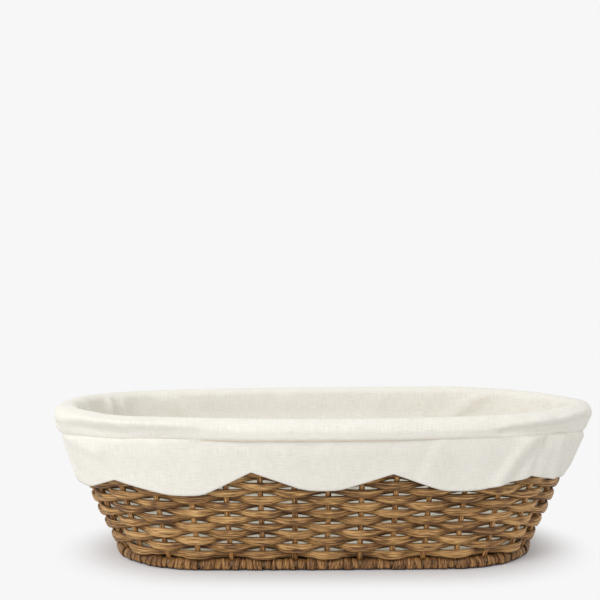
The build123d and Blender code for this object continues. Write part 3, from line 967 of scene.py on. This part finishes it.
def addSeam():
    columns, around = seamThread["columns"], seamThread["around"]

    def place(i, j):
        # The thread shows in the seam, except towards the right end, where it lies further in.
        share = i % columns / columns
        offset, height = seamPlace(share)
        offset += seamThread["out"] - seamThread["rightIn"] * smooth(endShares(share)[1] * 4)
        point = onRim(share, offset, height + seamThread["up"])
        outward = placeOn(rimOval, rimShare(share))[1]
        angle = 2 * math.pi * (j % around) / around
        return (point + (outward * math.cos(angle) + up * math.sin(angle)) * seamThread["radius"],
                (i / columns * 4 * rimOval["quarter"], j / around * seamThread["girth"]))

    shape = newShape()
    addSkin(shape, columns, around, place)
    finishPiece(shape, "seamCord", finishes["thread"], "liner", ["seam_elastic"])


valanceSkirt = addValance()
addSeam()
print("valance ready")

# Stage and light.
stage = {
    "size": 6.0, "floor": (0.885, 0.895, 0.915),
    "bounce": (0.78, 0.78, 0.78),            # its colour for the light that it throws back onto the basket
    "roughness": 0.9, "shine": 0.1,
    "far": 0.93, "blend": (0.002, 0.047),    # the far floor's plain shade, and where it takes over
}


def addStage():
    shape = newShape()
    bmesh.ops.create_grid(shape, x_segments=1, y_segments=1, size=stage["size"])
    mesh = bpy.data.meshes.new("floor")
    shape.to_mesh(mesh)
    shape.free()
    floor = bpy.data.objects.new("floor", mesh)
    bpy.context.scene.collection.objects.link(floor)
    material, tree, shader = newFinish("paleFloor", stage["roughness"])
    shader.inputs["Specular IOR Level"].default_value = stage["shine"]
    where = addNode(tree, "ShaderNodeTexCoord")
    # How far a place is from the foot's middle line, so that the fade goes round its ends.
    lineEnd = (footOval["halfLength"] - footOval["halfWidth"], 0, 0)
    zero = (0, 0, 0)
    away = where.outputs["Object"]
    for operation, other in (("ABSOLUTE", None), ("SUBTRACT", lineEnd), ("MAXIMUM", zero), ("LENGTH", None)):
        node = addNode(tree, "ShaderNodeVectorMath", operation=operation)
        tree.links.new(away, node.inputs[0])
        if other:
            node.inputs[1].default_value = other
        away = node.outputs["Value" if operation == "LENGTH" else "Vector"]
    fade = addNode(tree, "ShaderNodeMapRange", interpolation_type="SMOOTHSTEP")
    tree.links.new(away, fade.inputs["Value"])
    for label, gap in zip(("From Min", "From Max"), stage["blend"]):
        fade.inputs[label].default_value = footOval["halfWidth"] + gap
    glow = addNode(tree, "ShaderNodeEmission")
    glow.inputs["Color"].default_value = (stage["far"], stage["far"], stage["far"], 1)
    rays = addNode(tree, "ShaderNodeLightPath")
    seen = addMath(tree, "MAXIMUM", rays.outputs["Is Camera Ray"], rays.outputs["Is Glossy Ray"])
    colour = addNode(tree, "ShaderNodeMix", data_type="RGBA")
    tree.links.new(seen, colour.inputs["Factor"])
    # The node's two colours come after its number and vector sockets.
    colour.inputs[6].default_value = (*stage["bounce"], 1)
    colour.inputs[7].default_value = (*stage["floor"], 1)
    tree.links.new(colour.outputs[2], shader.inputs["Base Color"])
    mix = addNode(tree, "ShaderNodeMixShader")
    tree.links.new(addMath(tree, "MULTIPLY", seen, fade.outputs["Result"]), mix.inputs[0])
    tree.links.new(shader.outputs[0], mix.inputs[1])
    tree.links.new(glow.outputs[0], mix.inputs[2])
    tree.links.new(mix.outputs[0], tree.nodes["Material Output"].inputs["Surface"])
    mesh.materials.append(material)


lights = {
    "world": 0.88,
    "key": {"place": (-0.84, -0.84, 0.82), "size": 0.7, "power": 6.9},
    "fill": {"place": (0.9, -0.9, 0.8), "size": 1.2, "power": 0.2},
}


def addLights():
    world = bpy.data.worlds.new("studio")
    world.use_nodes = True
    tree = world.node_tree
    sky = tree.nodes["Background"]
    sky.inputs["Color"].default_value = (1, 1, 1, 1)
    sky.inputs["Strength"].default_value = lights["world"]
    backdrop = addNode(tree, "ShaderNodeBackground")
    backdrop.inputs["Color"].default_value = (stage["far"], stage["far"], stage["far"], 1)
    rays = addNode(tree, "ShaderNodeLightPath")
    mix = addNode(tree, "ShaderNodeMixShader")
    tree.links.new(rays.outputs["Is Camera Ray"], mix.inputs[0])
    tree.links.new(sky.outputs[0], mix.inputs[1])
    tree.links.new(backdrop.outputs[0], mix.inputs[2])
    tree.links.new(mix.outputs[0], tree.nodes["World Output"].inputs["Surface"])
    bpy.context.scene.world = world
    for name in ("key", "fill"):
        setting = lights[name]
        data = bpy.data.lights.new(name, "AREA")
        data.size = setting["size"]
        data.energy = setting["power"]
        lamp = bpy.data.objects.new(name, data)
        lamp.location = setting["place"]
        lamp.rotation_euler = (-Vector(setting["place"])).to_track_quat("-Z", "Y").to_euler()
        bpy.context.scene.collection.objects.link(lamp)


addStage()
addLights()
bpy.context.scene.view_settings.view_transform = "Standard"
print("stage and lights ready")
